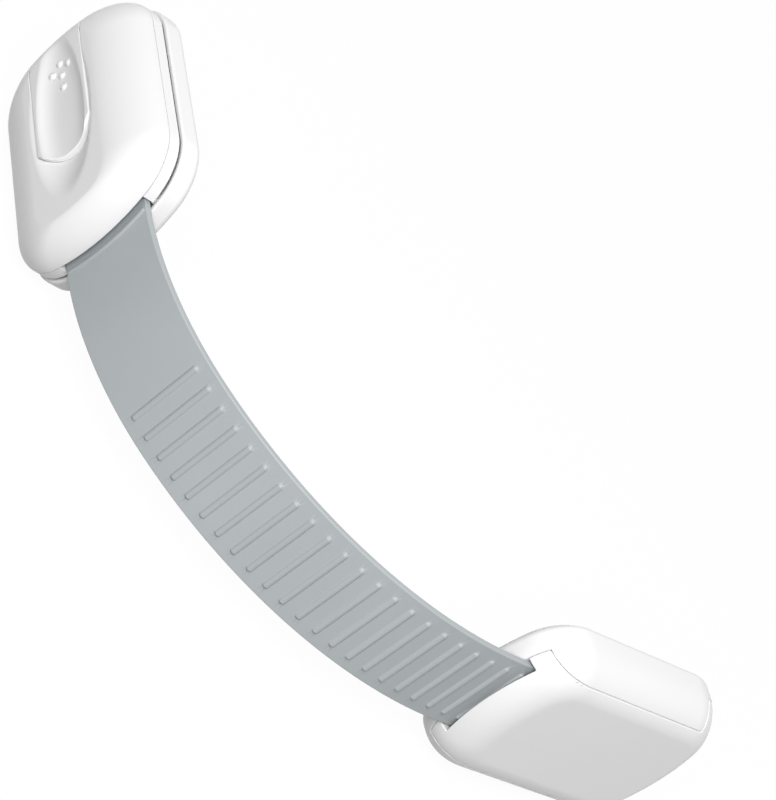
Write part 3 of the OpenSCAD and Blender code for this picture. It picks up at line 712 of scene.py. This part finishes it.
# Strap: one swept moulding with half-round ribs, a low collar at the head and an anchor bar inside it.
strapLook = {
    "wide": 22.0, "thick": 1.4, "round": 0.3, "roundSteps": 4, "edge": 0.12,
    "plain": 35.6, "pitch": 4.26, "ribs": 31, "ribLong": 17.3, "ribR": 0.75, "ribHigh": 0.5,
    "ribSteps": (24, 15),
    "collarAt": 0.7, "collarWide": 1.0, "collarHigh": 0.3, "collarIn": 0.6, "collarSteps": (32, 48),
    "anchorNear": 4.4, "anchorFar": 9.0, "anchorHigh": 10.4, "anchorLow": 7.1, "anchorIn": 0.05,
}
tailLong = math.radians(route["tailA"]) * route["tailR"]
freeLong = tailLong + math.radians(route["headA"]) * route["headR"]


def stationTurn(d):  # place on the strap, d millimetres back from the adjuster's slot
    if d <= 0:
        return Matrix.Translation((-d, 0, 0))
    if d <= tailLong:
        return bendTurn(route["tailR"], math.degrees(d / route["tailR"]))
    return tailTurn @ bendTurn(route["headR"], math.degrees((d - tailLong) / route["headR"]))


def strapSweep():
    s = strapLook
    upright = Matrix.Translation((route["tail"], 0, 0)) @ Matrix.Rotation(math.pi / 2, 4, "Y")
    bm = bmesh.new()
    bmesh.ops.create_grid(bm, x_segments=1, y_segments=1, size=0.5,
                          matrix=upright @ Matrix.Diagonal((s["wide"], s["thick"], 1, 1)))
    bmesh.ops.bevel(bm, geom=bm.verts[:], offset=s["round"], offset_type="OFFSET", segments=s["roundSteps"],
                    profile=0.5, affect="VERTICES", clamp_overlap=False, material=-1)
    end = raiseFace(bm, bm.faces[:][0], (-route["tail"], 0, 0))
    tailCentre = Vector((0, route["tailR"], 0))
    headCentre = tailTurn @ Vector((0, route["headR"], 0))
    end = spinFace(bm, end, tailCentre, (0, 0, 1), -route["tailA"], route["tailSteps"])
    end = spinFace(bm, end, headCentre, (0, 0, 1), -route["headA"], route["headSteps"])
    raiseFace(bm, end, strapTurn.to_3x3() @ Vector((route["slotU"] - s["anchorNear"], 0, 0)))
    dropInner(bm)
    return bm


def strapRibs():
    s = strapLook
    stepsU, stepsV = s["ribSteps"]
    sink = Matrix.Translation((0, s["ribR"] - s["ribHigh"] - s["thick"] / 2, 0))
    bm = bmesh.new()
    for k in range(s["ribs"]):
        rib = bmesh.ops.create_uvsphere(bm, u_segments=stepsU, v_segments=stepsV, radius=s["ribR"])
        for v in rib["verts"]:
            v.co.z += math.copysign(s["ribLong"] / 2 - s["ribR"], v.co.z)
        station = stationTurn(freeLong - s["plain"] - k * s["pitch"])
        bmesh.ops.transform(bm, verts=rib["verts"], matrix=station @ sink)
    return bm


def strapCollar():  # follows the bowed end of the head
    s = strapLook
    ringSteps, bowSteps = s["collarSteps"]
    radius = pad["bowR"] + s["collarAt"] + s["collarWide"] / 2
    lean = math.asin((s["wide"] / 2 - s["collarIn"]) / radius)
    centre = (pad["bowR"], 0, 0)
    at = Matrix.Translation((pad["bowR"] - radius, 0, route["mid"] + s["thick"] / 2)) @ standUp
    bm = bmesh.new()
    bmesh.ops.create_circle(bm, cap_ends=True, segments=ringSteps, radius=1,
                            matrix=at @ Matrix.Diagonal((s["collarWide"] / 2, s["collarHigh"], 1, 1)))
    bmesh.ops.rotate(bm, verts=bm.verts, cent=centre, matrix=Matrix.Rotation(-lean, 3, "Z"))
    bmesh.ops.spin(bm, geom=bm.faces[:] + bm.edges[:] + bm.verts[:], cent=centre, axis=(0, 0, 1),
                   dvec=(0, 0, 0), angle=2 * lean, steps=bowSteps, use_duplicate=False)
    bmesh.ops.recalc_face_normals(bm, faces=bm.faces)
    bmesh.ops.transform(bm, verts=bm.verts, matrix=strapPlace.inverted() @ headPlace)
    return bm


def strapAnchor():
    s = strapLook
    half = s["wide"] / 2 - s["anchorIn"]
    bm = block(route["slotU"] - s["anchorFar"], route["slotU"] - s["anchorNear"] + play["root"],
               route["mid"] - s["anchorHigh"], route["mid"] - s["anchorLow"], -half, half)
    bmesh.ops.transform(bm, verts=bm.verts, matrix=strapTurn)
    return bm


def makeStrap():
    piece = asObject("strapBody", strapSweep())
    for part in (strapRibs(), strapCollar(), strapAnchor()):
        carve(piece, part, "UNION")
    return finishPiece(piece, strapPlace, greyElastomer, strapLook["edge"])


strapBody = makeStrap()
print("strap ready")

# What rides where.
for piece, body, node, slot in (
    (releaseBase, "release", "release_base", "white_plastic"),
    (releaseTape, "release", "release_tape", "foam_tape"),
    (headFloor, "head", "head_floor", "white_plastic"),
    (headCover, "head", "head_cover", "white_plastic"),
    (releaseButton, "button", "release_button", "white_plastic"),
    (adjusterBase, "adjuster", "adjuster_base", "white_plastic"),
    (adjusterTape, "adjuster", "adjuster_tape", "foam_tape"),
    (adjusterLid, "lid", "adjuster_lid", "white_plastic"),
    (latchSpring, None, "latch_spring", "spring_steel"),
    (strapBody, None, "strap", "grey_elastomer"),
):
    if body:
        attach(piece, body)
    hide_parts(node)
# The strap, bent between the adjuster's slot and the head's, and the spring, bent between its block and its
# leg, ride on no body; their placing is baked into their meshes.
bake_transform(strapBody)
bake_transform(latchSpring)

# Floor, light and camera. A lamp is its name, place, size and power.
studio = {
    "floorDrop": 0.0002, "floorSize": 6.0, "floorColour": (0.2, 0.2, 0.2, 1), "whiteShare": 0.75,
    "glow": 1.27, "white": (1, 1, 1, 1), "world": 0.42,
    "lamps": (
        ("keyBox", (-0.487, -0.342, 0.475), 0.45, 5.7),
        ("sideBox", (0.45, 0.55, 0.45), 0.6, 0.5),
    ),
}
shot = {
    "at": (-0.39484, -0.25261, 0.23792), "right": (0.66254, -0.2256, 0.71425),
    "up": (-0.31883, 0.77792, 0.54147), "lens": 119.36, "sensor": 36.0, "clipEnd": 20.0,
}


def seenDirectly(tree):  # one where the camera, a reflection or a see-through surface looks
    rays = tree.nodes.new("ShaderNodeLightPath")
    seen = rays.outputs["Is Camera Ray"]
    for kind in ("Is Glossy Ray", "Is Transmission Ray"):
        either = tree.nodes.new("ShaderNodeMath")
        either.operation = "MAXIMUM"
        tree.links.new(seen, either.inputs[0])
        tree.links.new(rays.outputs[kind], either.inputs[1])
        seen = either.outputs[0]
    return seen


def mixShaders(tree, share, first, second, output):
    mix = tree.nodes.new("ShaderNodeMixShader")
    tree.links.new(share, mix.inputs[0])
    tree.links.new(first.outputs[0], mix.inputs[1])
    tree.links.new(second.outputs[0], mix.inputs[2])
    tree.links.new(mix.outputs[0], tree.nodes[output].inputs["Surface"])


def makeFloor():
    bm = bmesh.new()
    bmesh.ops.create_grid(bm, x_segments=1, y_segments=1, size=studio["floorSize"] / 2,
                          matrix=Matrix.Translation((0, 0, cadLow.z - studio["floorDrop"])))
    floor = asObject("studioFloor", bm)
    paint = bpy.data.materials.new("floorPaint")
    paint.use_nodes = True
    tree = paint.node_tree
    tree.nodes.remove(tree.nodes["Principled BSDF"])
    matte = tree.nodes.new("ShaderNodeBsdfDiffuse")
    matte.inputs["Color"].default_value = studio["floorColour"]
    glow = tree.nodes.new("ShaderNodeEmission")
    glow.inputs["Strength"].default_value = studio["glow"]
    share = tree.nodes.new("ShaderNodeMath")  # the rest stays matte and keeps the shadow
    share.operation = "MULTIPLY"
    share.inputs[1].default_value = studio["whiteShare"]
    tree.links.new(seenDirectly(tree), share.inputs[0])
    mixShaders(tree, share.outputs[0], matte, glow, "Material Output")
    floor.data.materials.append(paint)


def makeRoom():
    world = bpy.data.worlds.new("softRoom")
    world.use_nodes = True
    scene.world = world
    tree = world.node_tree
    room = tree.nodes["Background"]
    room.inputs["Color"].default_value = studio["white"]
    room.inputs["Strength"].default_value = studio["world"]
    white = tree.nodes.new("ShaderNodeBackground")
    white.inputs["Color"].default_value = studio["white"]
    mixShaders(tree, seenDirectly(tree), room, white, "World Output")


def makeLamps():
    aim = (cadLow + cadHigh) / 2
    for name, at, size, power in studio["lamps"]:
        lamp = bpy.data.lights.new(name, "AREA")
        lamp.shape, lamp.size, lamp.energy = "SQUARE", size, power
        holder = bpy.data.objects.new(name, lamp)
        holder.location = at
        holder.rotation_euler = (aim - Vector(at)).to_track_quat("-Z", "Y").to_euler()
        scene.collection.objects.link(holder)


def makeCamera():
    data = bpy.data.cameras.new("photoCamera")
    data.lens, data.sensor_width, data.clip_end = shot["lens"], shot["sensor"], shot["clipEnd"]
    camera = bpy.data.objects.new("photoCamera", data)
    right = Vector(shot["right"]).normalized()
    back = right.cross(Vector(shot["up"])).normalized()
    up = back.cross(right)
    turn = Matrix((right, up, back)).transposed().to_4x4()
    camera.matrix_world = Matrix.Translation(shot["at"]) @ turn
    scene.collection.objects.link(camera)
    scene.camera = camera


makeFloor()
makeRoom()
makeLamps()
makeCamera()
print("studio ready")
